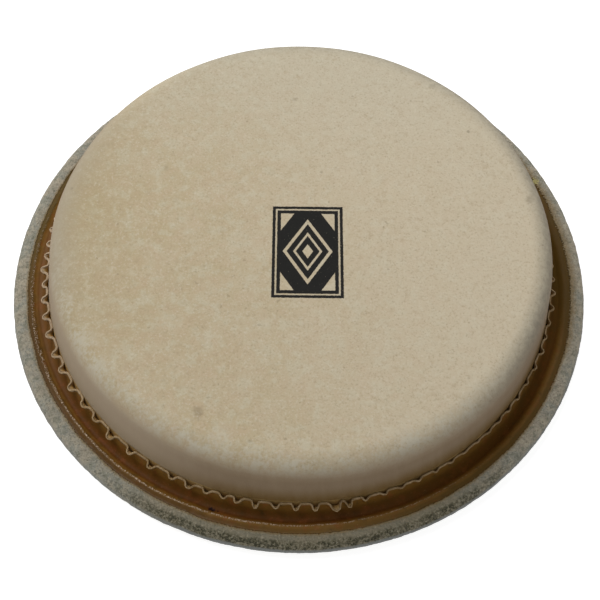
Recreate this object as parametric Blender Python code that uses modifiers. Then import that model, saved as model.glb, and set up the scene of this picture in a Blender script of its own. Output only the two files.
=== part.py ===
"""Mounted rawhide head of a bongo drum: a moulded hide, tucked round a steel flesh hoop.

Metres, +Z up. The drum's axis is Z, the head rests on the plane z = 0, and the playing face looks up.
"""

import math

import bpy

# Whole head
OUTER_RADIUS = 0.1075  # outside of the roll
HEIGHT = 0.0345  # from the resting plane to the playing face
HIDE = 0.0012  # thickness of the hide

# Flesh hoop
ROD_RADIUS = 0.0025
CLEARANCE = 0.0003  # between the rod and the hide that wraps it
ROLL_RADIUS = ROD_RADIUS + CLEARANCE + HIDE
ROD_CENTRE_RADIUS = OUTER_RADIUS - ROLL_RADIUS

# Collar wall, measured on its outside
EDGE_ROUNDING = 0.0080  # between the playing face and the wall
WALL_TOP_RADIUS = 0.0908
WALL_TOP_Z = HEIGHT - EDGE_ROUNDING
WALL_LOW_RADIUS = 0.0935
WALL_LOW_Z = 0.0099
FLARE = math.atan2(WALL_LOW_RADIUS - WALL_TOP_RADIUS, WALL_TOP_Z - WALL_LOW_Z)

# The wall's foot turns outward to pass under the rod
FOOT_RADIUS = 0.0050

# Flap: the hide comes back over the rod as a flat land, dips, and rises beside the wall to its cut edge
DIP_CENTRE_RADIUS = 0.0979
DIP_CENTRE_Z = 0.0092
DIP_RADIUS = 0.0030
DIP_START = math.radians(-37)
DIP_END = math.radians(-170)
CUT_EDGE_RADIUS = 0.0946
CUT_EDGE_Z = 0.0122

TURN_STEPS = 72
ROD_STEPS = 16


def arc(centre, radius, start, end, steps):
    """Points on an arc from one angle to the other, both ends among them."""
    angles = [start + (end - start) * i / steps for i in range(steps + 1)]
    return [(centre[0] + radius * math.cos(a), centre[1] + radius * math.sin(a)) for a in angles]


def wall_middle(z):
    """Radius of the middle of the wall's thickness at a height."""
    outside = WALL_TOP_RADIUS + (WALL_TOP_Z - z) * math.tan(FLARE)
    return outside - HIDE / 2 / math.cos(FLARE)


def hide_section():
    """The middle of the hide's thickness, as (radius, height), from the drum's axis to the cut edge."""
    half = HIDE / 2
    edge_centre = (WALL_TOP_RADIUS - EDGE_ROUNDING / math.cos(FLARE), WALL_TOP_Z)
    face = [(0.0, HEIGHT - half), (edge_centre[0] / 2, HEIGHT - half)]
    edge = arc(edge_centre, EDGE_ROUNDING - half, math.pi / 2, FLARE, 5)
    foot_z = half + FOOT_RADIUS
    foot_centre = (wall_middle(foot_z) + FOOT_RADIUS / math.cos(FLARE), foot_z)
    foot = arc(foot_centre, FOOT_RADIUS, math.pi + FLARE, math.pi * 3 / 2, 4)
    roll_centre = (ROD_CENTRE_RADIUS, ROLL_RADIUS)
    roll = arc(roll_centre, ROLL_RADIUS - half, -math.pi / 2, math.pi / 2, 10)
    land_end = (DIP_CENTRE_RADIUS + DIP_RADIUS * math.cos(DIP_START), 2 * ROLL_RADIUS - half)
    dip = arc((DIP_CENTRE_RADIUS, DIP_CENTRE_Z), DIP_RADIUS, DIP_START, DIP_END, 6)
    return [*face, *edge, *foot, *roll, land_end, *dip[1:], (CUT_EDGE_RADIUS, CUT_EDGE_Z)]


def material(name, colour, roughness, metallic):
    made = bpy.data.materials.new(name)
    made.use_nodes = True
    shader = made.node_tree.nodes["Principled BSDF"]
    shader.inputs["Base Color"].default_value = (*colour, 1.0)
    shader.inputs["Roughness"].default_value = roughness
    shader.inputs["Metallic"].default_value = metallic
    return made


def rawhide_skin():
    """The hide: its middle surface turned about the drum's axis, then given its thickness."""
    section = hide_section()
    mesh = bpy.data.meshes.new("rawhide_skin")
    mesh.from_pydata(
        [(radius, 0.0, z) for radius, z in section],
        [(i, i + 1) for i in range(len(section) - 1)],
        [],
    )
    skin = bpy.data.objects.new("rawhide_skin", mesh)
    turn = skin.modifiers.new("Turn", "SCREW")
    turn.axis = "Z"
    turn.angle = 2 * math.pi
    turn.steps = TURN_STEPS
    turn.render_steps = TURN_STEPS
    turn.use_merge_vertices = True
    turn.merge_threshold = 0.00001
    turn.use_smooth_shade = True
    thicken = skin.modifiers.new("Thickness", "SOLIDIFY")
    thicken.thickness = HIDE
    thicken.offset = 0.0
    thicken.use_even_offset = True
    mesh.materials.append(material("rawhide", (0.48, 0.42, 0.31), 0.75, 0.0))
    return skin


def flesh_hoop():
    """The steel rod, bent to a ring and butt-welded."""
    bpy.ops.mesh.primitive_torus_add(
        major_radius=ROD_CENTRE_RADIUS,
        minor_radius=ROD_RADIUS,
        major_segments=TURN_STEPS,
        minor_segments=ROD_STEPS,
        location=(0.0, 0.0, ROLL_RADIUS),
    )
    hoop = bpy.context.object
    hoop.name = "flesh_hoop"
    hoop.data.name = "flesh_hoop"
    hoop.data.shade_smooth()
    hoop.data.materials.append(material("steel_rod", (0.55, 0.55, 0.56), 0.35, 1.0))
    return hoop


def main():
    for old in list(bpy.data.objects):
        bpy.data.objects.remove(old)
    parts = bpy.data.collections.new("bongo_drum_head")
    bpy.context.scene.collection.children.link(parts)
    for piece in (rawhide_skin(), flesh_hoop()):
        for holder in list(piece.users_collection):
            holder.objects.unlink(piece)
        parts.objects.link(piece)


main()
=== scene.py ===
"""Looks of a mounted rawhide bongo head: one moulded hide, tucked round a steel flesh hoop.

The hide is a single sheet. A line down the middle of its thickness is turned about the drum's axis, and
the sheet's two sides are laid off either way from it. The outer side is the playing face, the collar's
outside and the inside of the tuck. The back side is the membrane's underside, the collar's inside, the
napped roll and the glossy groove. Shapes are worked out in millimetres, and the mesh is made in metres.
"""

import math

import bpy
import numpy as np
from mathutils import Matrix, Vector, noise


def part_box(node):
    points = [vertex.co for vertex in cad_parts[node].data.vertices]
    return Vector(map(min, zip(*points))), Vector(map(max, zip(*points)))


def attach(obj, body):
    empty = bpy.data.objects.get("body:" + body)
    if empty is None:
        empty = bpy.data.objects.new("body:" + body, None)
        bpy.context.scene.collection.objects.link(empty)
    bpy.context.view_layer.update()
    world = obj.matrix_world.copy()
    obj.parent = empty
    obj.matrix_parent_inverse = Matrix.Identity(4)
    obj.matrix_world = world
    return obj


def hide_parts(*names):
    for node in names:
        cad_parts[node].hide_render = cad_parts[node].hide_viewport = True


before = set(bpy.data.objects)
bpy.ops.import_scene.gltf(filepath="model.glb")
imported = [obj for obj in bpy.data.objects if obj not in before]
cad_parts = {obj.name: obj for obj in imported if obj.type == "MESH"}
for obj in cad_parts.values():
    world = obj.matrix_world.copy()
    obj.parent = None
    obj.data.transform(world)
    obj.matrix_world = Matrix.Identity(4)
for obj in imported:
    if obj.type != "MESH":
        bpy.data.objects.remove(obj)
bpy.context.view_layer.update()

MM = 0.001
_, skin_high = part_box("rawhide_skin")
hoop_low, hoop_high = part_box("flesh_hoop")

# Sizes that the CAD model sets
OUTER_RADIUS = skin_high.x / MM
HEIGHT = skin_high.z / MM
ROD_RADIUS = (hoop_high.z - hoop_low.z) / 2 / MM
ROD_CENTRE_RADIUS = hoop_high.x / MM - ROD_RADIUS
ROLL_RADIUS = OUTER_RADIUS - ROD_CENTRE_RADIUS
HIDE = 1.2
EDGE_ROUNDING = 8.0
WALL_TOP_RADIUS = 90.8
WALL_TOP_Z = HEIGHT - EDGE_ROUNDING
WALL_LOW_RADIUS = 93.5
WALL_LOW_Z = 9.9
FLARE = math.atan2(WALL_LOW_RADIUS - WALL_TOP_RADIUS, WALL_TOP_Z - WALL_LOW_Z)
FOOT_RADIUS = 5.0

# The tuck's middle line from the top of the roll inwards: over the crest and down to the groove's bottom
ROLL_TOP = (ROD_CENTRE_RADIUS, 2 * ROLL_RADIUS - HIDE / 2)
TUCK = [ROLL_TOP, (102.0, 7.25), (100.7, 7.3), (99.5, 7.05), (98.5, 6.5), (97.6, 6.05)]

# From there the flap rises to its cut edge, either against the collar or out in a loop of a gather
FLAP_IN = [(96.3, 6.3), (95.1, 7.6), (94.25, 9.8), (93.55, 12.6)]
FLAP_OUT = [(96.3, 6.3), (95.1, 7.6), (94.35, 10.1), (96.2, 12.1)]

# Round figures for the radius of the cut edge, of the groove's bottom and of the crest
EDGE_RADIUS = 95.0
GROOVE_RADIUS = 98.0
CREST_RADIUS = 100.0

# Where the crest is round the head: azimuth, and distance along the middle line from the top of the roll
CREST = [(-180, 3.45), (-120, 3.45), (-90, 3.75), (-60, 3.70), (-20, 3.45)]

# Where the nap ends round the head, as the same two values
NAP_END = [(-180, 2.0), (-135, 1.7), (-90, 1.15), (-45, 1.3), (0, 1.7), (60, 1.8), (135, 2.4)]

# What the attribute "pressed", the distance past the nap, says where the hide isn't tucked
UNPRESSED = -10.0

# How strongly the crest is rubbed pale round the head, partly wear and partly a painted highlight: azimuth
# and amount (0 to 1)
RUB_AND_GLINT = [
    (-165, 0.8),
    (-140, 1.0),
    (-100, 0.9),
    (-80, 0.6),
    (-60, 0.4),
    (-30, 0.1),
    (0, 0.0),
    (150, 0.0),
    (175, 0.5),
]

# How the cut edge gathers round the head: azimuth, pitch and width of its loops (mm), and how far out
# they come (0 against the collar, 1 at the outer line)
GATHERS = [
    (-180, 6.0, 4.8, 0.95),
    (-168, 7.4, 5.2, 1.00),
    (-150, 8.8, 6.0, 1.00),
    (-122, 8.0, 5.2, 0.80),
    (-110, 6.0, 4.4, 0.70),
    (-99, 6.0, 4.2, 0.95),
    (-84, 5.8, 3.9, 1.15),
    (-72, 6.6, 4.0, 0.34),
    (-50, 6.2, 3.8, 0.20),
    (-35, 6.0, 4.2, 0.32),
    (-15, 6.0, 4.2, 0.60),
    (8, 5.7, 4.4, 0.85),
    (30, 5.4, 4.6, 1.10),
    (60, 5.3, 4.5, 0.85),
    (130, 5.0, 4.4, 0.85),
]

# No loop comes out further than this
MOST_OUT = 1.15

# One pleat of the gather is folded over: its azimuth, and how far the edge is pulled sideways (mm)
FOLDED_PLEAT = (-82.3, 1.8)

# The cut edge is rounded: how far across the thickness (0 to 1), and how far it stands out there (mm)
CUT_ROUNDING = [(0.15, 0.25), (0.5, 0.32), (0.85, 0.25)]

# Marks pressed into the groove, in degrees and mm: a small pit (azimuth, radius, depth and width) and two
# creases (azimuth, depth and width)
PIT = (-107.0, 98.2, 0.40, 0.6)
CREASES = [(-82.8, 0.25, 0.6), (-99.9, 0.15, 0.6)]

# The crown stands a little to one side and isn't quite level, as hide dries
CROWN_SHIFT = (1.0, 0.34)
CROWN_TILT = (-0.0089, 0.0128)

# Columns of points round the head, and the seed of the gather's spacing
COLUMNS = 1024
SEED = 7

# The floor's size, its gap under the head (both in metres) and its glow, and the strength of the sky
FLOOR_SIZE = 30.0
FLOOR_DROP = 0.0003
FLOOR_GLOW = 0.85
WORLD_STRENGTH = 0.30

# The camera: elevation and roll in degrees, distance in outer radii, and the point it looks at (mm).
# Its lens and its sensor's width are in millimetres too.
CAMERA_ELEVATION = 59.36
CAMERA_ROLL = 0.477
CAMERA_DISTANCE = 4
CAMERA_AIM = (0.43, -8.33, 0.0)
LENS = 67.185
SENSOR_WIDTH = 36.0

# Spacing of the mesh on each stretch: every how many columns and rows, on the outer side and on the back
SPACING = {
    "edge": ((2, 1), (4, 2)),
    "wall": ((2, 2), (4, 4)),
    "foot": ((8, 1), (4, 1)),
    "under": ((8, 1), (2, 1)),
    "roll": ((8, 2), (1, 1)),
    "groove": ((4, 2), (1, 1)),
    "flap": ((1, 2), (1, 1)),
}


def smoothstep(low, high, x):
    t = np.clip((np.asarray(x, float) - low) / (high - low), 0.0, 1.0)
    return t * t * (3.0 - 2.0 * t)


def lumps(points, size, layer):
    """Smooth noise, about -1 to 1, with features of the given size. Each layer is a field of its own."""
    shift = Vector((31.7 * layer, 17.3 * layer, 5.9))
    values = [noise.noise(Vector(p) / size + shift) for p in points.reshape(-1, 3)]
    return np.array(values).reshape(points.shape[:-1])


def outward(azimuth):
    """Level unit vectors away from the drum's axis, one for each azimuth."""
    return np.stack([np.cos(azimuth), np.sin(azimuth), np.zeros(len(azimuth))], axis=1)


def degrees_from(centre, azimuth):
    """How far each azimuth (radians) is round from a centre (degrees), as degrees from -180 to 180."""
    return (np.degrees(azimuth) - centre + 180.0) % 360.0 - 180.0


def round_the_head(table, azimuth):
    """A table of azimuths and values, filled in for every column."""
    at, values = np.array(table, float).T
    return np.interp(np.degrees(azimuth), at, values, period=360)


def arc(centre, radius, start, end, steps):
    """Points on an arc, both ends among them."""
    a = np.linspace(start, end, steps + 1)
    return np.stack([centre[0] + radius * np.cos(a), centre[1] + radius * np.sin(a)], axis=1)


def smooth_line(points, per_span):
    """Points on a smooth line through the given ones (Catmull-Rom), both ends among them."""
    p = np.array(points, float)
    p = np.vstack([2 * p[0] - p[1], p, 2 * p[-1] - p[-2]])
    t = np.linspace(0.0, 1.0, per_span, endpoint=False)[:, None]
    spans = []
    for a, b, c, d in zip(p, p[1:], p[2:], p[3:]):
        linear = (c - a) * t
        square = (2 * a - 5 * b + 4 * c - d) * t**2
        cubic = (3 * b - a - 3 * c + d) * t**3
        spans.append(b + 0.5 * (linear + square + cubic))
    return np.vstack([*spans, p[-2:-1]])


def wall_middle(z):
    """Radius of the middle of the collar wall's thickness at a height."""
    outside = WALL_TOP_RADIUS + (WALL_TOP_Z - z) * math.tan(FLARE)
    return outside - HIDE / 2 / math.cos(FLARE)


def stretches():
    """The middle line from near the axis to the cut edge, as stretches of (name, points, points).

    A stretch's two lines differ only on the flap: against the collar, and out in a loop of the gather.
    """
    half = HIDE / 2
    edge_centre = (WALL_TOP_RADIUS - EDGE_ROUNDING / math.cos(FLARE), WALL_TOP_Z)
    face_radii = np.append(np.arange(3.0, edge_centre[0] - 1.5, 2.8), edge_centre[0])
    face = np.stack([face_radii, np.full(len(face_radii), HEIGHT - half)], axis=1)
    edge = arc(edge_centre, EDGE_ROUNDING - half, math.pi / 2, FLARE, 12)
    foot_centre_z = half + FOOT_RADIUS
    foot_centre = (wall_middle(foot_centre_z) + FOOT_RADIUS / math.cos(FLARE), foot_centre_z)
    foot = arc(foot_centre, FOOT_RADIUS, math.pi + FLARE, math.pi * 3 / 2, 6)
    wall_z = np.linspace(edge[-1][1], foot[0][1], 17)
    wall = np.stack([wall_middle(wall_z), wall_z], axis=1)
    under = np.linspace(foot[-1], (ROD_CENTRE_RADIUS, half), 4)
    roll_centre = (ROD_CENTRE_RADIUS, ROLL_RADIUS)
    roll = arc(roll_centre, ROLL_RADIUS - half, -math.pi / 2, math.pi / 2, 20)
    groove_rows = 4 * (len(TUCK) - 1)
    tuck_in = smooth_line(TUCK + FLAP_IN, 4)
    tuck_out = smooth_line(TUCK + FLAP_OUT, 4)
    return [
        ("face", face, face),
        ("edge", edge[1:], edge[1:]),
        ("wall", wall[1:], wall[1:]),
        ("foot", foot[1:], foot[1:]),
        ("under", under[1:], under[1:]),
        ("roll", roll[1:], roll[1:]),
        ("groove", tuck_in[1 : groove_rows + 1], tuck_out[1 : groove_rows + 1]),
        ("flap", tuck_in[groove_rows + 1 :], tuck_out[groove_rows + 1 :]),
    ]


def face_stride(radius):
    """How many columns a cell of the flat face spans, so that it is 1 to 2.4 mm wide at any radius."""
    column = 2 * math.pi * radius / COLUMNS
    return int(min(64, 2 ** math.floor(math.log2(2.4 / column))))


def loops_of_gather():
    """The loops as (azimuth in degrees, half width, reach, lean), spaced so that the ring closes."""
    rng = np.random.default_rng(SEED)
    style = np.array(GATHERS, float)
    per_degree = math.radians(EDGE_RADIUS)
    loops = []
    at = -180.0
    while at < 180.0:
        pitch, width, reach = [np.interp(at, style[:, 0], style[:, k], period=360) for k in (1, 2, 3)]
        pitch *= rng.uniform(0.78, 1.22)
        half_width = min(width * rng.uniform(0.88, 1.12), pitch * 1.05) / 2
        reach = min(reach * rng.uniform(0.70, 1.15), MOST_OUT)
        lean = rng.normal(0.0, 0.35)
        loops.append((at + pitch / 2 / per_degree, half_width, reach, lean))
        at += pitch / per_degree
    squeeze = 360.0 / (at + 180.0)
    return [((centre + 180.0) * squeeze - 180.0, *rest) for centre, *rest in loops]


def gathered(azimuth):
    """How far out from the collar each column's cut edge is (0 to 1), and how far aside it slides (mm)."""
    out = np.zeros(len(azimuth))
    slide = np.zeros(len(azimuth))
    for centre, half_width, reach, lean in loops_of_gather():
        away = np.radians(degrees_from(centre, azimuth)) * EDGE_RADIUS
        u = np.clip(away / half_width, -1.0, 1.0)
        bump = reach * np.cos(math.pi * u / 2) ** 2
        out = np.maximum(out, bump)
        slide += 0.1 * half_width * np.sin(2 * math.pi * u) * reach + lean * bump
    pleat, pull = FOLDED_PLEAT
    fold = np.radians(degrees_from(pleat, azimuth)) * EDGE_RADIUS
    slide += pull * np.exp(-((fold / 1.5) ** 2))
    out += 0.01 + 0.07 * lumps(EDGE_RADIUS * outward(azimuth), 2.4, 15)
    return np.clip(out, 0.0, MOST_OUT + 0.05), slide


class Hide:
    """The sheet's middle as a grid of rows and columns, and what each row and column of it is."""

    def __init__(self):
        parts = stretches()
        self.part = np.concatenate([[name] * len(line) for name, line, _ in parts])
        held_in = np.vstack([line for _, line, _ in parts])
        held_out = np.vstack([line for _, _, line in parts])
        self.section = held_in
        self.measure_rows()
        self.azimuth = np.arange(COLUMNS) * 2 * math.pi / COLUMNS
        self.measure_columns()
        self.middle = self.shaped(held_in, held_out)
        self.normal = self.normals()

    def measure_rows(self):
        """Distances along the section: from the axis, past the roll, and up the flap (0 to 1)."""
        start = self.section[0][0]
        step = np.linalg.norm(np.diff(self.section, axis=0), axis=1)
        self.along = np.concatenate([[start], start + np.cumsum(step)])
        self.past_roll = self.along - self.along[self.last_row("roll")]
        flap_start = self.along[self.last_row("groove")]
        self.rise = np.clip((self.along - flap_start) / (self.along[-1] - flap_start), 0.0, 1.0)

    def measure_columns(self):
        """Where the ragged end of the nap and the crest are on each column, and how rubbed the crest is,
        with its painted highlight.
        """
        nap = round_the_head(NAP_END, self.azimuth)
        self.nap_end = nap + 0.35 * self.ring_lumps(9.0, 13) + 0.12 * self.ring_lumps(1.2, 14)
        crest = round_the_head(CREST, self.azimuth)
        self.crest = crest + 0.22 * self.ring_lumps(7.0, 5) + 0.12 * self.ring_lumps(1.6, 6)
        self.rub_and_glint = round_the_head(RUB_AND_GLINT, self.azimuth)
        self.rub_and_glint_width = 0.32 + 0.40 * smoothstep(-0.80, -0.97, np.cos(self.azimuth))

    def last_row(self, part):
        return np.flatnonzero(self.part == part)[-1]

    def ring_lumps(self, size, layer):
        return lumps(CREST_RADIUS * outward(self.azimuth), size, layer)

    def shaped(self, held_in, held_out):
        """The middle surface's points, rows by columns, with gathers and the unevenness of dried hide."""
        out, slide = gathered(self.azimuth)
        radius = held_in[:, :1] * (1 - out) + held_out[:, :1] * out
        z = held_in[:, 1:] * (1 - out) + held_out[:, 1:] * out
        turn = self.azimuth + self.rise[:, None] * slide / np.maximum(radius, 1.0)
        points = np.stack([radius * np.cos(turn), radius * np.sin(turn), z], axis=2)
        ring = outward(self.azimuth)
        uneven = 0.55 * lumps(EDGE_RADIUS * ring, 9.0, 1) + 0.2 * lumps(EDGE_RADIUS * ring, 2.2, 2)
        points[:, :, 2] += self.rise[:, None] ** 2 * uneven
        # The collar and the cut edge wander in and out, and the face up and down
        collar = smoothstep(60.0, 84.0, self.along) * (1 - smoothstep(105.0, 112.0, self.along))
        collar = np.maximum(collar, self.rise)
        points += collar[:, None, None] * 0.22 * lumps(points, 24.0, 3)[:, :, None] * ring
        level = 1 - smoothstep(84.0, 92.0, self.along)
        points[:, :, 2] += level[:, None] * 0.10 * lumps(points, 26.0, 4)
        return points

    def normals(self):
        """Unit normals of the middle surface, towards the outer side."""
        down = np.gradient(self.middle, axis=0)
        across = np.roll(self.middle, -1, axis=1) - np.roll(self.middle, 1, axis=1)
        n = np.cross(down, across)
        return n / np.linalg.norm(n, axis=2, keepdims=True)

    def halves(self):
        """Distance from the middle surface to either side. The cut edge is pared, least at the left."""
        at_left = smoothstep(0.4, 0.95, -np.cos(self.azimuth))
        return (HIDE / 2 - self.rise[:, None] * (0.17 - 0.13 * at_left))[:, :, None]

    def back_relief(self):
        """How much the back stands out beyond the even thickness: nap, groove and crest."""
        worked = np.isin(self.part, ["under", "roll", "groove", "flap"])
        points = self.middle[worked]
        past = self.past_roll[worked][:, None]
        pressed = smoothstep(-0.2, 0.25, past - self.nap_end)
        nap = 0.12 * lumps(points, 1.1, 7) + 0.13 * lumps(points, 3.2, 8) + 0.08 * lumps(points, 14.0, 9)
        nap *= smoothstep(0.4, 2.6, points[:, :, 2])
        beyond = past - self.crest
        ridge = np.exp(-(np.abs(beyond / np.where(beyond > 0, 0.60, 0.95)) ** 1.5))
        ridge *= (0.05 + 0.75 * self.rub_and_glint) * (1.0 + 0.25 * self.ring_lumps(1.7, 10))
        smooth = -0.22 + ridge + 0.06 * lumps(points, 2.4, 11) + 0.06 * lumps(points, 6.0, 12)
        relief = np.zeros(self.middle.shape[:2])
        relief[worked] = nap * (1 - pressed) + smooth * pressed
        return relief - self.marks()

    def marks(self):
        """Depth of the single marks in the groove."""
        azimuth, radius, deep, wide = PIT
        gap = np.linalg.norm(self.middle - self.groove_point(azimuth, radius), axis=2)
        depth = deep * np.exp(-((gap / wide) ** 2))
        groove = smoothstep(0.3, 1.2, self.past_roll[:, None] - self.crest) * (1 - self.rise[:, None])
        for azimuth, deep, wide in CREASES:
            aside = np.radians(degrees_from(azimuth, self.azimuth)) * GROOVE_RADIUS
            depth += deep * groove * np.exp(-((aside / wide) ** 2))
        return depth

    def groove_point(self, degrees, radius):
        """The point of the groove's middle surface that is nearest to an azimuth and radius."""
        column = int(round(degrees % 360.0 / 360.0 * COLUMNS)) % COLUMNS
        tuck = np.flatnonzero(self.part == "groove")
        row = tuck[np.argmin(np.abs(self.section[tuck, 0] - radius))]
        return self.middle[row, column]

    def stride(self, row, on_back):
        """Every how many columns a row has a point, or 0 where the mesh skips it."""
        part = self.part[row]
        if part == "face":
            return face_stride(self.section[row, 0]) * (2 if on_back else 1)
        columns, rows = SPACING[part][1 if on_back else 0]
        return columns if (self.last_row(part) - row) % rows == 0 else 0

    def values(self, row, on_back, stride=1):
        """What a row is, for the material: a value, or one for each of its points."""
        inner = on_back and self.part[row] in ("face", "edge", "wall", "foot")
        worked = on_back and not inner
        beyond = self.past_roll[row] - self.nap_end[::stride]
        off_crest = (self.past_roll[row] - self.crest[::stride]) / self.rub_and_glint_width[::stride]
        along = self.along[row]
        return {
            "rub_and_glint": self.rub_and_glint[::stride] * np.exp(-(off_crest**2)) if worked else 0.0,
            "pressed": np.maximum(beyond, UNPRESSED) if worked else UNPRESSED,
            "roll": float(worked),
            "shoulder": 0.0 if on_back else np.exp(-(((along - 88.0) / 5.5) ** 2)),
            "wall_stain_and_light": 0.0 if on_back else smoothstep(86.0, 95.0, along),
            "cut": smoothstep(0.91, 0.95, self.rise[row]),
            "inside": float(inner),
            "along": along,
        }


def crown_lean(points):
    """Points moved as the crown leans, more the higher they are."""
    moved = points.copy()
    share = smoothstep(10.0, HEIGHT, points[..., 2])
    moved[..., 0] += share * CROWN_SHIFT[0]
    moved[..., 1] += share * CROWN_SHIFT[1]
    moved[..., 2] += share * (CROWN_TILT[0] * points[..., 0] + CROWN_TILT[1] * points[..., 1])
    return moved


class Rings:
    """A closed mesh built up from rings of points, each of which has a power of two points."""

    def __init__(self, names):
        self.points = []
        self.values = {name: [] for name in names}
        self.faces = []
        self.last = None
        self.count = 0

    def add_points(self, points, values):
        first = self.count
        self.points.append(points)
        for name, kept in self.values.items():
            kept.append(np.broadcast_to(values[name], len(points)))
        self.count += len(points)
        return np.arange(first, self.count)

    def pole(self, point, values):
        """A single point that starts or closes the mesh at the axis."""
        tip = int(self.add_points(point[None, :], values)[0])
        if self.last is None:
            self.last = tip
            return
        ring = self.last
        for i in range(len(ring)):
            self.faces.append((ring[i], tip, ring[(i + 1) % len(ring)]))

    def ring(self, points, values):
        new = self.add_points(points, values)
        if isinstance(self.last, int):
            for i in range(len(new)):
                self.faces.append((self.last, new[i], new[(i + 1) % len(new)]))
        else:
            self.join(self.last, new)
        self.last = new

    def join(self, old, new):
        """Faces between two rings, fans of triangles where one has more points than the other."""
        if len(old) == len(new):
            turned_old = np.roll(old, -1)
            turned_new = np.roll(new, -1)
            self.faces.extend(zip(old.tolist(), new.tolist(), turned_new.tolist(), turned_old.tolist()))
            return
        finer_is_new = len(new) > len(old)
        coarse, fine = (old, new) if finer_is_new else (new, old)
        ratio = len(fine) // len(coarse)
        middle = ratio // 2
        for i in range(len(coarse)):
            near, far = coarse[i], coarse[(i + 1) % len(coarse)]
            edge = [fine[(i * ratio + k) % len(fine)] for k in range(ratio + 1)]
            fans = [(near if k < middle else far, edge[k], edge[k + 1]) for k in range(ratio)]
            fans.append((near, edge[middle], far))
            for face in fans:
                self.faces.append(face if finer_is_new else face[::-1])

    def mesh(self, name):
        made = bpy.data.meshes.new(name)
        faces = [tuple(int(i) for i in face) for face in self.faces]
        made.from_pydata((np.vstack(self.points) * MM).tolist(), [], faces)
        for key, kept in self.values.items():
            attribute = made.attributes.new(key, "FLOAT", "POINT")
            attribute.data.foreach_set("value", np.concatenate(kept).astype(np.float32))
        made.shade_smooth()
        return made


def hide_mesh():
    """The whole hide as one closed mesh, with what each place is in its attributes."""
    hide = Hide()
    halves = hide.halves()
    outer = crown_lean(hide.middle + hide.normal * halves)
    back = crown_lean(hide.middle - hide.normal * (halves + hide.back_relief()[:, :, None]))
    rings = Rings(["pressed", "rub_and_glint", "roll", "shoulder", "wall_stain_and_light", "cut", "inside", "along"])
    last = len(hide.along) - 1
    top = crown_lean(np.array([0.0, 0.0, HEIGHT]))
    rings.pole(top, hide.values(0, False))
    for row in range(last + 1):
        stride = hide.stride(row, False)
        if stride:
            rings.ring(outer[row, ::stride], hide.values(row, False, stride))
    tangent = hide.middle[last] - hide.middle[last - 1]
    tangent /= np.linalg.norm(tangent, axis=1, keepdims=True)
    for across, beyond in CUT_ROUNDING:
        cut_points = outer[last] * (1 - across) + back[last] * across + tangent * beyond
        rings.ring(cut_points, {**hide.values(last, True), "cut": 1.0})
    for row in range(last, -1, -1):
        stride = hide.stride(row, True)
        if stride:
            rings.ring(back[row, ::stride], hide.values(row, True, stride))
    rings.pole(top - np.array([0.0, 0.0, HIDE]), hide.values(0, True))
    return rings.mesh("bongo_skin"), hide


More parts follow.
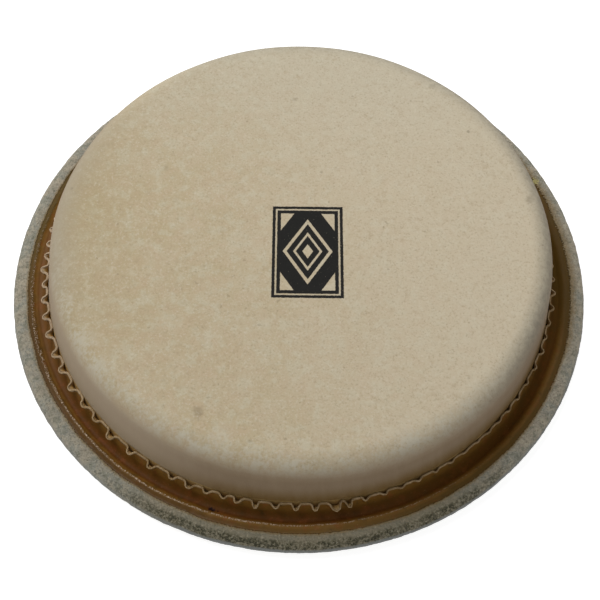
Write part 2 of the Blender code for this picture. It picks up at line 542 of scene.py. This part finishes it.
class Nodes:
    """Short calls that add nodes to a new material. Most of them return the socket that they make."""

    def __init__(self, name):
        self.material = bpy.data.materials.new(name)
        self.material.use_nodes = True
        self.tree = self.material.node_tree
        self.shader = self.tree.nodes["Principled BSDF"]

    def make(self, kind, values, **settings):
        node = self.tree.nodes.new(kind)
        for key, value in settings.items():
            setattr(node, key, value)
        for key, value in values.items():
            self.put(node.inputs[key], value)
        return node

    def put(self, socket, value):
        """Links a socket to another, or sets its constant."""
        if isinstance(value, bpy.types.NodeSocket):
            self.tree.links.new(value, socket)
        elif socket.type == "RGBA":
            socket.default_value = (*value, 1.0)
        else:
            socket.default_value = value

    def surface(self, base_color, roughness, normal=None):
        self.put(self.shader.inputs["Base Color"], base_color)
        self.put(self.shader.inputs["Roughness"], roughness)
        if normal is not None:
            self.put(self.shader.inputs["Normal"], normal)

    def place(self):
        """The point on the object, in millimetres."""
        at = self.make("ShaderNodeTexCoord", {}).outputs["Object"]
        scaled = self.make("ShaderNodeVectorMath", {0: at, "Scale": 1 / MM}, operation="SCALE")
        return scaled.outputs["Vector"]

    def parts_of(self, vector):
        """A vector's x, y and z."""
        return self.make("ShaderNodeSeparateXYZ", {0: vector}).outputs

    def distance(self, vector, point):
        apart = self.make("ShaderNodeVectorMath", {0: vector, 1: point}, operation="DISTANCE")
        return apart.outputs["Value"]

    def attribute(self, name):
        return self.make("ShaderNodeAttribute", {}, attribute_name=name).outputs["Fac"]

    def stretched(self, vector, factors):
        made = self.make("ShaderNodeVectorMath", {0: vector, 1: factors}, operation="MULTIPLY")
        return made.outputs["Vector"]

    def noise(self, vector, size, detail=2.0, roughness=0.5):
        """Noise about 0.5, with features of the given size in millimetres."""
        values = {"Vector": vector, "Scale": 1 / size, "Detail": detail, "Roughness": roughness}
        return self.make("ShaderNodeTexNoise", values).outputs[0]

    def math(self, operation, a, b=0.0, clamp=False):
        return self.make("ShaderNodeMath", {0: a, 1: b}, operation=operation, use_clamp=clamp).outputs[0]

    def times(self, value, *factors):
        for factor in factors:
            value = self.math("MULTIPLY", value, factor)
        return value

    def plus(self, a, b):
        return self.math("ADD", a, b)

    def less(self, value, share=1.0):
        """1 minus a share of the value."""
        return self.math("SUBTRACT", 1.0, value if share == 1.0 else self.times(value, share))

    def weighed(self, a, weight_a, b, weight_b):
        """The sum of two values, each times its weight."""
        return self.plus(self.times(a, weight_a), self.times(b, weight_b))

    def ramp(self, value, low, high, to_low=0.0, to_high=1.0):
        """A smooth step of the value, from to_low at low to to_high at high."""
        values = {"Value": value, "From Min": low, "From Max": high, "To Min": to_low, "To Max": to_high}
        return self.make("ShaderNodeMapRange", values, interpolation_type="SMOOTHSTEP").outputs["Result"]

    def mix(self, share, a, b):
        """Colour a where share is 0, colour b where it is 1."""
        node = self.make("ShaderNodeMix", {}, data_type="RGBA")
        self.put(node.inputs[0], share)
        self.put(node.inputs[6], a)
        self.put(node.inputs[7], b)
        return node.outputs[2]

    def bands(self, value, stops):
        """A colour for each value, blended between stops of (value from 0 to 1, colour)."""
        node = self.make("ShaderNodeValToRGB", {"Fac": value})
        elements = node.color_ramp.elements
        for position, colour in stops[1:-1]:
            elements.new(position).color = (*colour, 1.0)
        elements[0].position = stops[0][0]
        elements[0].color = (*stops[0][1], 1.0)
        elements[-1].position = stops[-1][0]
        elements[-1].color = (*stops[-1][1], 1.0)
        return node.outputs["Color"]

    def bump(self, height, depth, normal=None):
        """Bumps of the given depth in millimetres where height goes from 0 to 1."""
        values = {"Height": height, "Distance": depth * MM, "Strength": 1.0}
        if normal is not None:
            values["Normal"] = normal
        return self.make("ShaderNodeBump", values).outputs["Normal"]


# Single marks on the playing face, seen from above: x, y and radius (mm), and how dark (0 to 1)
SPOTS = [
    (-67.0, 49.0, 0.8, 0.55),
    (8.0, 26.0, 0.6, 0.35),
    (-76.0, 19.0, 0.7, 0.5),
    (-83.0, 18.0, 0.7, 0.5),
    (-15.5, -80.0, 0.9, 0.6),
    (63.5, 45.5, 0.6, 0.4),
    (-33.0, -70.0, 2.0, 0.25),
    (-49.5, 27.0, 1.2, 0.2),
    (-2.0, 60.0, 1.2, 0.2),
    (51.0, 67.5, 1.4, 0.2),
    (84.0, 15.0, 1.6, 0.25),
]

# Single marks in the ring: place and radius (mm), and colour. The first three make one long dark pit,
# and the last is a painted glint.
RING_SPOTS = [
    ((-29.4, -93.7, 6.4), 0.95, (0.008, 0.001, 0.003)),
    ((-28.3, -94.0, 6.4), 0.75, (0.008, 0.001, 0.003)),
    ((-27.0, -94.4, 6.4), 0.50, (0.012, 0.001, 0.001)),
    ((93.0, 42.0, 7.6), 1.6, (0.420, 0.370, 0.150)),
]

# Colours of the groove, by distance past the end of the nap in centimetres. The pale stops at 0.20 and 0.28
# are a painted highlight along the crest, and the dark ones at 0.37 and 0.45 add painted shade to the
# bowl's darker hide.
GROOVE_COLOURS_WITH_PAINTED_LIGHT = [
    (0.00, (0.125, 0.070, 0.013)),
    (0.12, (0.145, 0.075, 0.012)),
    (0.20, (0.182, 0.091, 0.015)),
    (0.28, (0.196, 0.096, 0.016)),
    (0.37, (0.125, 0.047, 0.004)),
    (0.45, (0.096, 0.030, 0.002)),
    (0.70, (0.125, 0.048, 0.005)),
    (1.00, (0.168, 0.078, 0.008)),
]

# The printed panel, from above: its middle, and the half width and half height of its outside, of the two
# sides of the bare line within it, of the rectangle that holds the bare corners, and of the diamond that
# the nested ones are shares of
PRINT_CENTRE = (3.0, -8.1)
PRINT_HALF = (12.6, 18.85)
LINE_OUTSIDE = (11.5, 17.75)
LINE_INSIDE = (10.9, 17.15)
CORNERS_HALF = (9.6, 15.8)
DIAMOND_HALF = (9.6, 14.6)
INK = (0.0135, 0.0130, 0.0115)


def printed_panel(n, place):
    """Where the ink is: an upright panel that leaves nested diamonds and corner triangles bare."""
    x, y, _ = n.parts_of(place)
    u = n.math("ABSOLUTE", n.plus(x, -PRINT_CENTRE[0]))
    v = n.math("ABSOLUTE", n.plus(y, -PRINT_CENTRE[1]))
    wobble = n.times(n.plus(n.noise(place, 0.8, 2.0), -0.5), 0.35)

    def inside(half_width, half_height):
        wide = n.ramp(n.plus(u, wobble), half_width + 0.12, half_width - 0.12)
        tall = n.ramp(n.plus(v, wobble), half_height + 0.12, half_height - 0.12)
        return n.times(wide, tall)

    line = n.math("SUBTRACT", inside(*LINE_OUTSIDE), inside(*LINE_INSIDE), clamp=True)
    diamond = n.weighed(u, 1 / DIAMOND_HALF[0], v, 1 / DIAMOND_HALF[1])
    diamond = n.plus(diamond, n.times(wobble, 0.08))

    def ring(low, high):
        return n.times(n.ramp(diamond, low - 0.01, low + 0.01), n.ramp(diamond, high + 0.01, high - 0.01))

    bare = n.plus(ring(0.78, 0.92), ring(0.44, 0.54))
    bare = n.plus(bare, n.ramp(diamond, 0.21, 0.19))
    corners = n.times(n.ramp(diamond, 1.58, 1.60), inside(*CORNERS_HALF))
    bare = n.math("ADD", n.plus(bare, corners), line, clamp=True)
    worn = n.ramp(n.noise(place, 0.5, 3.0, 0.6), 0.68, 0.76)
    ink = n.times(inside(*PRINT_HALF), n.math("SUBTRACT", 1.0, bare, clamp=True))
    return n.times(ink, n.less(worn, 0.6))


class HideLooks:
    """The hide's material. What a place is comes from the mesh's attributes and from where it is."""

    def __init__(self):
        """Makes the sockets that several parts of the hide share."""
        n = Nodes("rawhide")
        self.n = n
        self.place = n.place()
        self.x, self.y, self.z = n.parts_of(self.place)
        self.pressed = n.attribute("pressed")
        self.roll = n.attribute("roll")
        self.shoulder = n.attribute("shoulder")
        self.wall_stain_and_light = n.attribute("wall_stain_and_light")
        self.cut = n.attribute("cut")
        self.inside = n.attribute("inside")
        self.rub_and_glint = n.attribute("rub_and_glint")
        self.fine = n.noise(self.place, 2.4, 3.0, 0.65)
        self.grain = n.noise(self.place, 0.75, 2.0, 0.6)
        self.drift = n.noise(self.place, 9.0, 2.0)
        self.tuft = n.noise(self.place, 0.8, 3.0, 0.7)
        self.hair = n.noise(n.stretched(self.place, (1.0, 1.0, 0.5)), 0.55, 2.0, 0.6)
        self.blotch = n.noise(self.place, 3.5, 3.0, 0.6)
        self.fringe = n.noise(self.place, 0.7, 2.0, 0.7)
        # Sides of the head. The groove gets painted shade at the right and at the front right (dark), and
        # painted light at the left.
        self.right = self.side(1.0, 0.35, 78.0, 98.0)
        self.left = self.side(1.0, -0.35, -50.0, -92.0)
        self.dark = self.side(0.88, -0.47, 62.0, 92.0)
        self.outside = n.ramp(self.pressed, 2.0, 1.2)
        self.nap_gap = n.plus(self.pressed, n.times(n.plus(self.fringe, -0.5), self.by_right(1.4, 3.4)))
        self.amber = n.times(n.ramp(self.nap_gap, -0.20, 0.15), self.roll)
        self.scratch_and_glint = n.ramp(
            n.noise(self.place, 0.55, 3.0, 0.7),
            n.ramp(self.left, 0.0, 1.0, 0.44, 0.52),
            0.62,
        )

    def side(self, x_share, y_share, low, high):
        """A smooth step across the head, along a level direction."""
        return self.n.ramp(self.n.weighed(self.x, x_share, self.y, y_share), low, high)

    def by_right(self, elsewhere, at_right):
        """One value at the right of the head and another elsewhere."""
        return self.n.ramp(self.right, 0.0, 1.0, elsewhere, at_right)

    def face(self):
        """Colour of undyed hide with its short nap and a painted sheen at the right and back, before it is
        printed, stained or pressed.
        """
        n, place, fine, grain = self.n, self.place, self.fine, self.grain
        broad = n.noise(place, 45.0, 2.0)
        patch = n.noise(place, 11.0, 3.0, 0.6)
        colour = n.mix(n.ramp(broad, 0.35, 0.65), (0.455, 0.368, 0.222), (0.475, 0.388, 0.248))
        colour = n.mix(n.ramp(patch, 0.36, 0.66, 0.0, 0.65), colour, (0.500, 0.418, 0.282))
        warm = n.noise(n.stretched(place, (1.0, 1.3, 1.0)), 6.5, 2.0)
        colour = n.mix(n.ramp(warm, 0.50, 0.72, 0.0, 0.40), colour, (0.490, 0.372, 0.240))
        blush = n.noise(place, 4.5, 2.0, 0.6)
        colour = n.mix(n.ramp(blush, 0.50, 0.66, 0.0, 0.45), colour, (0.520, 0.485, 0.355))
        colour = n.mix(n.ramp(blush, 0.48, 0.34, 0.0, 0.35), colour, (0.475, 0.355, 0.225))
        # Painted sheen: paler and greyer towards the right and towards the back
        painted_sheen = self.side(0.9, 0.25, -80.0, 75.0)
        colour = n.mix(n.times(painted_sheen, 0.75), colour, (0.585, 0.508, 0.378))
        colour = n.mix(n.ramp(self.y, 10.0, 95.0, 0.0, 0.5), colour, (0.500, 0.460, 0.355))
        colour = n.mix(n.ramp(self.x, -50.0, -88.0, 0.0, 0.6), colour, (0.395, 0.315, 0.180))
        colour = n.mix(n.ramp(fine, 0.52, 0.70, 0.0, 0.30), colour, (0.600, 0.540, 0.400))
        colour = n.mix(n.ramp(fine, 0.46, 0.32, 0.0, 0.30), colour, (0.410, 0.320, 0.205))
        colour = n.mix(n.ramp(grain, 0.54, 0.74, 0.0, 0.45), colour, (0.620, 0.560, 0.450))
        colour = n.mix(n.ramp(grain, 0.46, 0.28, 0.0, 0.50), colour, (0.350, 0.280, 0.180))
        speck = n.noise(place, 1.6, 0.0)
        colour = n.mix(n.ramp(speck, 0.19, 0.15, 0.0, 0.30), colour, (0.200, 0.150, 0.090))
        for spot_x, spot_y, radius, dark in SPOTS:
            apart = n.distance(place, (spot_x, spot_y, HEIGHT))
            ragged = n.plus(apart, n.times(n.plus(fine, -0.5), 1.5 * radius))
            share = n.ramp(ragged, radius * 1.5, radius * 0.4, 0.0, dark)
            colour = n.mix(share, colour, (0.100, 0.075, 0.045))
        return colour

    def edge_wear_and_light(self, colour):
        """The face's edge: grimy with painted shade on the far side, darker at the left, and paler at the
        front, partly worn and partly a painted highlight.
        """
        n = self.n
        # Grime on the far side of the rounding, with painted shade
        away = self.side(0.8, 0.6, -20.0, 50.0)
        outer_edge = n.ramp(n.attribute("along"), 81.0, 90.5)
        grime_and_shade = n.times(outer_edge, away, n.ramp(self.fine, 0.30, 0.70, 0.95, 0.60))
        colour = n.mix(grime_and_shade, colour, (0.250, 0.232, 0.182))
        at_left = n.times(n.ramp(self.x, -55.0, -85.0), n.ramp(self.y, -45.0, -10.0))
        colour = n.mix(n.times(self.shoulder, at_left, 0.7), colour, (0.360, 0.310, 0.230))
        brushed = n.noise(n.stretched(self.place, (1.0, 1.0, 0.45)), 1.5, 3.0, 0.7)
        patchy = n.weighed(brushed, 0.6, n.noise(self.place, 8.0, 2.0), 0.4)
        # Painted highlight: paler brushed patches on the front of the rounding, partly worn nap
        front_highlight = n.times(self.shoulder, self.side(0.3, 1.0, -20.0, -60.0))
        worn = n.times(front_highlight, n.ramp(patchy, 0.44, 0.60, 0.0, 0.6))
        return n.mix(worn, colour, (0.560, 0.530, 0.430))

    def wall(self):
        """Colour of the collar's outside, which is stained brown, with painted shade low down and painted
        light at the left front, and is amber low down, paled there as painted light in the pockets.
        """
        n = self.n
        # Darker and browner low down: stain and painted shade
        colour = n.mix(n.ramp(self.z, 22.0, 12.5), (0.222, 0.158, 0.096), (0.158, 0.090, 0.022))
        # Painted light: paler at the left front
        painted_light = self.side(-0.9, -0.43, 55.0, 85.0)
        colour = n.mix(n.times(painted_light, 0.75), colour, (0.355, 0.280, 0.195))
        # Amber below the cut edge's height, paled as painted light in the pockets behind the gathers
        return n.mix(n.ramp(self.z, 13.3, 12.4), colour, (0.480, 0.310, 0.110))

    def stain_and_light_share(self):
        """How much of the wall's colour, stain with painted light and shade, shows, in upright streaks."""
        n = self.n
        streak = n.noise(n.stretched(self.place, (1.0, 1.0, 0.15)), 3.0, 2.0)
        return n.times(self.wall_stain_and_light, n.ramp(streak, 0.25, 0.75, 0.94, 1.0))

    def underside(self):
        """Colour of the membrane's underside and of the collar's inside."""
        n = self.n
        colour = n.mix(n.ramp(self.drift, 0.35, 0.65), (0.450, 0.362, 0.230), (0.485, 0.398, 0.262))
        return n.mix(n.ramp(self.fine, 0.5, 0.75, 0.0, 0.3), colour, (0.540, 0.465, 0.335))

    def nap(self):
        """Colour of the napped roll: tufts and hairs, darker with painted shade and speckled at the front,
        and a dull rim.
        """
        n, tuft, pressed = self.n, self.tuft, self.pressed
        clump = n.noise(self.place, 2.6, 3.0, 0.65)
        front_shade = self.side(0.05, -0.99, 74.0, 98.0)
        front_right = self.side(0.45, -0.89, 45.0, 85.0)
        colour = n.mix(n.ramp(self.drift, 0.40, 0.60), (0.285, 0.280, 0.235), (0.345, 0.305, 0.235))
        colour = n.mix(n.ramp(clump, 0.51, 0.60, 0.0, 0.6), colour, (0.440, 0.385, 0.285))
        colour = n.mix(n.ramp(self.hair, 0.50, 0.66, 0.0, 0.6), colour, (0.440, 0.405, 0.315))
        colour = n.mix(n.ramp(clump, 0.48, 0.38, 0.0, 0.6), colour, (0.200, 0.200, 0.145))
        # Painted shade: darker at the front
        colour = n.mix(n.times(front_shade, 0.70), colour, (0.205, 0.178, 0.112))
        band = n.times(n.ramp(pressed, -5.7, -4.8), n.ramp(pressed, -1.8, -3.1))
        speckled = n.times(band, front_shade, n.ramp(clump, 0.66, 0.44, 0.45, 1.0))
        colour = n.mix(n.times(speckled, 0.55), colour, (0.110, 0.098, 0.050))
        specks = n.times(speckled, n.ramp(tuft, 0.53, 0.45, 0.0, 0.95))
        colour = n.mix(specks, colour, (0.022, 0.021, 0.009))
        colour = n.mix(n.ramp(tuft, 0.47, 0.36, 0.0, 0.55), colour, (0.120, 0.115, 0.080))
        colour = n.mix(n.ramp(tuft, 0.55, 0.66, 0.0, 0.35), colour, (0.500, 0.460, 0.360))
        rim = n.times(n.ramp(pressed, -4.8, -5.7), n.ramp(pressed, -9.8, -8.6))
        rim = n.times(rim, n.ramp(front_right, 0.0, 1.0, 0.35, 0.85))
        colour = n.mix(rim, colour, (0.200, 0.210, 0.205))
        soaked = n.ramp(self.nap_gap, self.by_right(-1.2, -3.2), -0.1, 0.0, 0.8)
        return n.mix(soaked, colour, (0.240, 0.165, 0.070))

    def groove(self):
        """Colour of the pressed tuck, by distance past the nap, with painted shade on its front right and
        right sides, painted light on its left, and a rubbed crest with a painted highlight.
        """
        n, outside, left = self.n, self.outside, self.left
        colour = n.bands(n.times(self.pressed, 0.1), GROOVE_COLOURS_WITH_PAINTED_LIGHT)
        colour = n.mix(n.ramp(self.blotch, 0.50, 0.70, 0.0, 0.5), colour, (0.210, 0.060, 0.012))
        colour = n.mix(n.ramp(self.blotch, 0.46, 0.30, 0.0, 0.5), colour, (0.070, 0.040, 0.008))
        colour = n.mix(n.times(outside, left, 0.85), colour, (0.085, 0.052, 0.007))
        # Painted light: paler past the crest at the left
        past_crest = n.ramp(self.pressed, 2.0, 2.8)
        colour = n.mix(n.times(past_crest, left, 0.35), colour, (0.250, 0.135, 0.045))
        front_left = self.side(-0.75, -0.66, 60.0, 95.0)
        colour = n.mix(n.times(outside, front_left, 0.7), colour, (0.090, 0.040, 0.008))
        # Reddish specks, partly painted glints
        colour = n.mix(n.ramp(self.fringe, 0.64, 0.74, 0.0, 0.45), colour, (0.330, 0.150, 0.060))
        # Painted shade at the front right and at the right
        colour = n.mix(n.times(outside, self.dark, 0.6), colour, (0.070, 0.044, 0.006))
        colour = n.mix(n.times(self.dark, 0.35), colour, (0.090, 0.041, 0.001))
        colour = n.mix(n.times(self.right, 0.85), colour, (0.078, 0.041, 0.002))
        # Pale scratches on the crest, partly wear and partly a painted highlight
        scratches_and_glints = n.times(n.ramp(self.rub_and_glint, 0.15, 0.8), self.scratch_and_glint)
        return n.mix(scratches_and_glints, colour, (0.640, 0.500, 0.370))

    def spotted(self, colour):
        """The ring's pit, and a painted glint."""
        n = self.n
        for spot, radius, spot_colour in RING_SPOTS:
            ragged = n.plus(n.distance(self.place, spot), n.times(n.plus(self.fringe, -0.5), 2.5 * radius))
            share = n.times(n.ramp(ragged, radius * 1.2, radius * 0.6, 0.0, 0.9), self.roll)
            colour = n.mix(share, colour, spot_colour)
        return colour

    def cut_edge(self):
        n = self.n
        colour = n.mix(n.ramp(self.fine, 0.40, 0.62), (0.340, 0.230, 0.115), (0.450, 0.325, 0.185))
        return n.mix(n.times(self.left, 0.6), colour, (0.560, 0.430, 0.310))

    def ink(self):
        """Where the face is printed."""
        n = self.n
        elsewhere = n.plus(self.roll, n.plus(self.inside, self.wall_stain_and_light))
        return n.times(printed_panel(n, self.place), n.math("LESS_THAN", elsewhere, 0.5))

    def colour(self):
        """The face and the collar's outside, then what lies over them: from the inside to the ink."""
        n = self.n
        colour = n.mix(self.stain_and_light_share(), self.edge_wear_and_light(self.face()), self.wall())
        colour = n.mix(self.inside, colour, self.underside())
        colour = n.mix(self.roll, colour, self.nap())
        colour = n.mix(self.amber, colour, self.groove())
        colour = n.mix(self.cut, self.spotted(colour), self.cut_edge())
        return n.mix(self.ink(), colour, INK)

    def roughness(self, gloss):
        """Matt, but for the tuck, which is glossy, and duller past its crest and where it is dark."""
        n = self.n
        dull = n.math("MAXIMUM", self.right, self.dark)
        dull = n.math("MAXIMUM", n.times(self.outside, self.left), dull)
        rough = n.ramp(gloss, 0.0, 1.0, 0.82, 0.40)
        rough = n.plus(rough, n.times(gloss, n.ramp(self.pressed, 2.2, 3.2, 0.0, 0.25)))
        rough = n.plus(rough, n.times(dull, gloss, 0.25))
        rough = n.plus(rough, n.times(self.rub_and_glint, -0.12))
        return n.plus(rough, n.times(n.plus(self.blotch, -0.5), 0.12))

    def bumps(self, gloss):
        """The face's grain, the roll's nap and the crest's scratches."""
        n = self.n
        normal = n.bump(n.weighed(self.grain, 0.6, self.fine, 0.6), 0.16)
        napped = n.times(n.plus(self.tuft, self.hair), n.times(self.roll, n.less(gloss)))
        normal = n.bump(napped, 0.5, normal)
        scratches = n.times(self.scratch_and_glint, gloss, n.ramp(self.rub_and_glint, 0.0, 0.5))
        return n.bump(scratches, 0.10, normal)


def hide_material():
    """One material for the whole hide."""
    looks = HideLooks()
    n = looks.n
    gloss = n.times(looks.amber, n.less(looks.cut))
    n.surface(base_color=looks.colour(), roughness=looks.roughness(gloss), normal=looks.bumps(gloss))
    n.put(n.shader.inputs["Specular IOR Level"], 0.18)
    return n.material


def steel_material():
    """Drawn steel rod: fine scratches along it and a faint bloom."""
    n = Nodes("steel_rod")
    place = n.place()
    fine = n.noise(n.stretched(place, (1.0, 1.0, 6.0)), 1.2, 3.0, 0.6)
    bloom = n.noise(place, 12.0, 3.0)
    colour = n.mix(n.ramp(fine, 0.3, 0.7), (0.480, 0.480, 0.490), (0.620, 0.620, 0.630))
    colour = n.mix(n.ramp(bloom, 0.55, 0.75, 0.0, 0.5), colour, (0.300, 0.240, 0.190))
    rough = n.ramp(fine, 0.3, 0.7, 0.28, 0.42)
    n.surface(base_color=colour, roughness=rough, normal=n.bump(fine, 0.03))
    n.put(n.shader.inputs["Metallic"], 1.0)
    return n.material


def floor_material():
    """White paper that also glows a little, so that it stays pale all over."""
    n = Nodes("floor_paper")
    grain = n.noise(n.place(), 4.0, 3.0)
    n.surface(base_color=n.mix(grain, (0.46, 0.46, 0.46), (0.48, 0.48, 0.48)), roughness=0.9)
    n.put(n.shader.inputs["Emission Color"], (1.0, 1.0, 1.0))
    n.put(n.shader.inputs["Emission Strength"], FLOOR_GLOW)
    return n.material


def link(item):
    bpy.context.scene.collection.objects.link(item)
    return item


def make_skin():
    mesh, hide = hide_mesh()
    skin = link(bpy.data.objects.new("bongo_skin", mesh))
    mesh.materials.append(hide_material())
    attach(skin, "root")
    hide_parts("rawhide_skin")


def finish_hoop():
    """The flesh hoop is the CAD node itself, inside the tuck."""
    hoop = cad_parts["flesh_hoop"]
    steel = steel_material()
    for holder in hoop.material_slots:
        holder.material = steel


def make_floor():
    bpy.ops.mesh.primitive_plane_add(size=FLOOR_SIZE, location=(0.0, 0.0, -FLOOR_DROP))
    floor = bpy.context.object
    floor.name = "floor"
    floor.data.materials.append(floor_material())


def soft_light(name, direction, distance, size, power):
    """A square white lamp that faces the object."""
    data = bpy.data.lights.new(name, "AREA")
    data.size = size
    data.energy = power
    lamp = link(bpy.data.objects.new(name, data))
    away = Vector(direction).normalized()
    lamp.location = away * distance
    lamp.rotation_euler = away.to_track_quat("Z", "Y").to_euler()


def make_light():
    soft_light("overhead", (-0.40, 0.30, 0.87), 1.3, 0.8, 10.5)
    soft_light("rear", (0.185, 0.75, 0.63), 1.2, 0.30, 3.4)
    world = bpy.data.worlds.new("studio")
    world.use_nodes = True
    background = world.node_tree.nodes["Background"]
    background.inputs["Color"].default_value = (1.0, 1.0, 1.0, 1.0)
    background.inputs["Strength"].default_value = WORLD_STRENGTH
    bpy.context.scene.world = world
    bpy.context.scene.view_settings.view_transform = "Standard"


def make_camera():
    data = bpy.data.cameras.new("camera")
    data.lens = LENS
    data.sensor_width = SENSOR_WIDTH
    camera = link(bpy.data.objects.new("camera", data))
    rise = math.radians(CAMERA_ELEVATION)
    distance = CAMERA_DISTANCE * OUTER_RADIUS * MM
    camera.location = (0.0, -distance * math.cos(rise), distance * math.sin(rise) - FLOOR_DROP)
    aim = Vector(CAMERA_AIM) * MM - camera.location
    turn = aim.to_track_quat("-Z", "Y").to_matrix().to_4x4()
    roll = Matrix.Rotation(math.radians(CAMERA_ROLL), 4, "Z")
    camera.matrix_world = Matrix.Translation(camera.location) @ turn @ roll
    bpy.context.scene.camera = camera


make_camera()
make_skin()
finish_hoop()
make_floor()
make_light()
